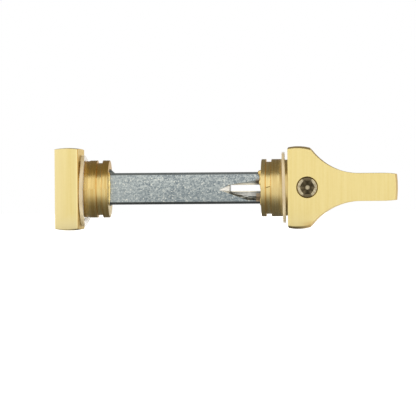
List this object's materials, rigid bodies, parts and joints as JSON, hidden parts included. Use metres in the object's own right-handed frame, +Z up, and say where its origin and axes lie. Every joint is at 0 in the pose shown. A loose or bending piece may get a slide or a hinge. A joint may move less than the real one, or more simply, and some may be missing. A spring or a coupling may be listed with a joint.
{
  "type": "bathroom thumb turn",
  "caption": "Thumb turn and coin release for a bathroom lock: two block-shaped brass heads on grooved round necks, joined by a split square spindle.",
  "frame": {"origin": "on the spindle's axis, midway between the inner faces of the two heads, where the lock's follower sits in the middle of the door", "axes": "+X along the spindle from the release to the turn, +Z up along the tall way of the heads, -Y out of the flat face with the set screw"},
  "size_m": [0.0861, 0.0182, 0.0208],
  "materials": {
    "brushed_brass": "satin, brushed across the flat faces",
    "turned_brass": "fine turned",
    "zinc_steel": "zinc plated, slightly spangled",
    "screw_steel": "bright steel, oiled",
    "nylon": "natural translucent nylon"
  },
  "bodies": {
    "release_side": {"release_head": "brushed_brass", "release_neck": "turned_brass", "spindle": "zinc_steel"},
    "turn": {"turn_head": "brushed_brass", "turn_neck": "turned_brass"},
    "set_screw": {"set_screw": "screw_steel"},
    "turn_washer": {"turn_washer": "nylon"},
    "release_washer": {"release_washer": "nylon"}
  },
  "joints": [
    {"name": "turn_slide", "type": "slide", "parent": "release_side", "child": "turn", "axis": [1, 0, 0], "range_m": [-0.0027, 0.017]},
    {"name": "screw_travel", "type": "slide", "parent": "turn", "child": "set_screw", "axis": [0, -1, 0], "range_m": [0, 0.003]},
    {"name": "turn_washer_slide", "type": "slide", "parent": "turn", "child": "turn_washer", "axis": [1, 0, 0], "range_m": [-0.005, 0.0004]},
    {"name": "release_washer_slide", "type": "slide", "parent": "release_side", "child": "release_washer", "axis": [1, 0, 0], "range_m": [-0.0001, 0.0055]}
  ]
}
